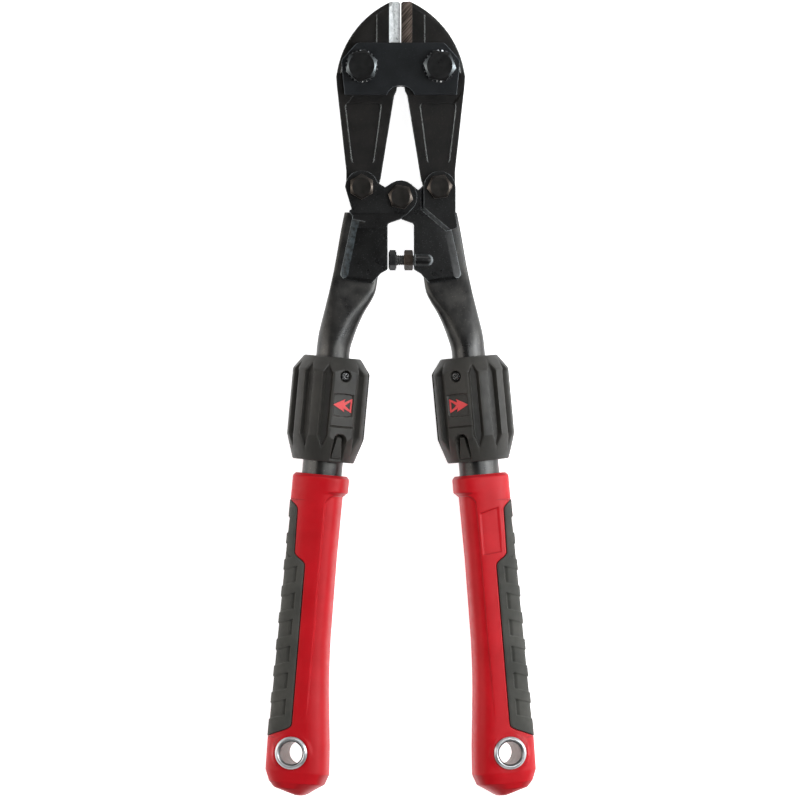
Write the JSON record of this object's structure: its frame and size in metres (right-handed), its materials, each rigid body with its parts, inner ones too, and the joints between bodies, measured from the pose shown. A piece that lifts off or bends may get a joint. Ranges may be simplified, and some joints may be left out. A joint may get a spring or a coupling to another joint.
{
  "type": "bolt cutters",
  "caption": "Compact bolt cutters with centre-cut jaws, a linked fold and telescoping grips that lock by twisting ribbed collars.",
  "frame": {"origin": "bottom centre of the bounding box, with the tool lying on its back", "axes": "+Y runs from the grips to the jaws, +X to the right seen from the front, +Z out of the front face"},
  "size_m": [0.1216, 0.3572, 0.0347],
  "materials": {
    "forging": "black oxide over a forged, slightly grainy surface",
    "plate": "blued, nearly black, satin",
    "fastener": "dark bronze-black oxide, satin",
    "tube": "dark satin steel",
    "bright": "bright rolled steel",
    "red_shell": "moulded red, soft gloss",
    "grip_rubber": "matt dark grey rubber with raised ribs",
    "collar": "fine-grained black moulding",
    "arrow": "red inlay",
    "bush": "natural black nylon"
  },
  "bodies": {
    "head": {"front_plate": "plate", "back_plate": "plate", "left_jaw_bolt": "fastener", "right_jaw_bolt": "fastener", "left_jaw_nut": "fastener", "right_jaw_nut": "fastener", "left_lock_washer": "fastener", "right_lock_washer": "fastener"},
    "left_jaw": {"left_jaw": "forging"},
    "right_jaw": {"right_jaw": "forging"},
    "left_lever": {"left_connector": "forging", "left_link_bolt": "fastener", "left_link_nut": "fastener", "left_inner_tube": "tube", "left_slide_bush": "bush", "centre_bolt": "fastener", "centre_nut": "fastener"},
    "left_grip": {"left_outer_tube": "tube", "left_grip_shell": "red_shell", "left_grip_rubber": "grip_rubber", "left_eyelet": "bright", "left_collar_core": "bush"},
    "left_collar": {"left_collar_sleeve": "collar", "left_arrow_badge": "arrow", "left_collar_screw": "fastener", "left_lock_key": "bright"},
    "right_lever": {"right_connector": "forging", "right_link_bolt": "fastener", "right_link_nut": "fastener", "right_inner_tube": "tube", "right_slide_bush": "bush", "stop_screw": "fastener", "stop_jam_nut": "fastener"},
    "right_grip": {"right_outer_tube": "tube", "right_grip_shell": "red_shell", "right_grip_rubber": "grip_rubber", "right_eyelet": "bright", "right_collar_core": "bush"},
    "right_collar": {"right_collar_sleeve": "collar", "right_arrow_badge": "arrow", "right_collar_screw": "fastener", "right_lock_key": "bright"}
  },
  "joints": [
    {"name": "left_handle_pivot", "type": "hinge", "parent": "left_jaw", "child": "left_lever", "pos_m": [-0.0175, 0.09505, 0.01739], "axis": [0, 0, -1], "range_deg": [0, 53]},
    {"name": "left_jaw_pivot", "type": "hinge", "parent": "head", "child": "left_jaw", "pos_m": [-0.0175, 0.14925, 0.01739], "axis": [0, 0, 1], "range_deg": [0, 8]},
    {"name": "right_jaw_pivot", "type": "hinge", "parent": "head", "child": "right_jaw", "pos_m": [0.0175, 0.14925, 0.01739], "axis": [0, 0, -1], "range_deg": [0, 8]},
    {"name": "right_handle_pivot", "type": "hinge", "parent": "right_jaw", "child": "right_lever", "pos_m": [0.0175, 0.09505, 0.01739], "axis": [0, 0, 1], "range_deg": [0, 53]},
    {"name": "left_grip_slide", "type": "slide", "parent": "left_lever", "child": "left_grip", "axis": [-0.092, -0.9958, 0], "range_m": [0, 0.1143]},
    {"name": "left_collar_twist", "type": "hinge", "parent": "left_grip", "child": "left_collar", "pos_m": [-0.0306, 0.01875, 0.01739], "axis": [0.092, 0.9958, 0], "range_deg": [0, 30]},
    {"name": "right_grip_slide", "type": "slide", "parent": "right_lever", "child": "right_grip", "axis": [0.092, -0.9958, 0], "range_m": [0, 0.1143]},
    {"name": "right_collar_twist", "type": "hinge", "parent": "right_grip", "child": "right_collar", "pos_m": [0.0306, 0.01875, 0.01739], "axis": [0.092, -0.9958, 0], "range_deg": [0, 30]}
  ],
  "couplings": [
    {"joint": "left_jaw_pivot", "follows": "left_handle_pivot", "ratio": 0.1509},
    {"joint": "right_jaw_pivot", "follows": "left_handle_pivot", "ratio": 0.1509},
    {"joint": "right_handle_pivot", "follows": "left_handle_pivot", "ratio": 1}
  ]
}
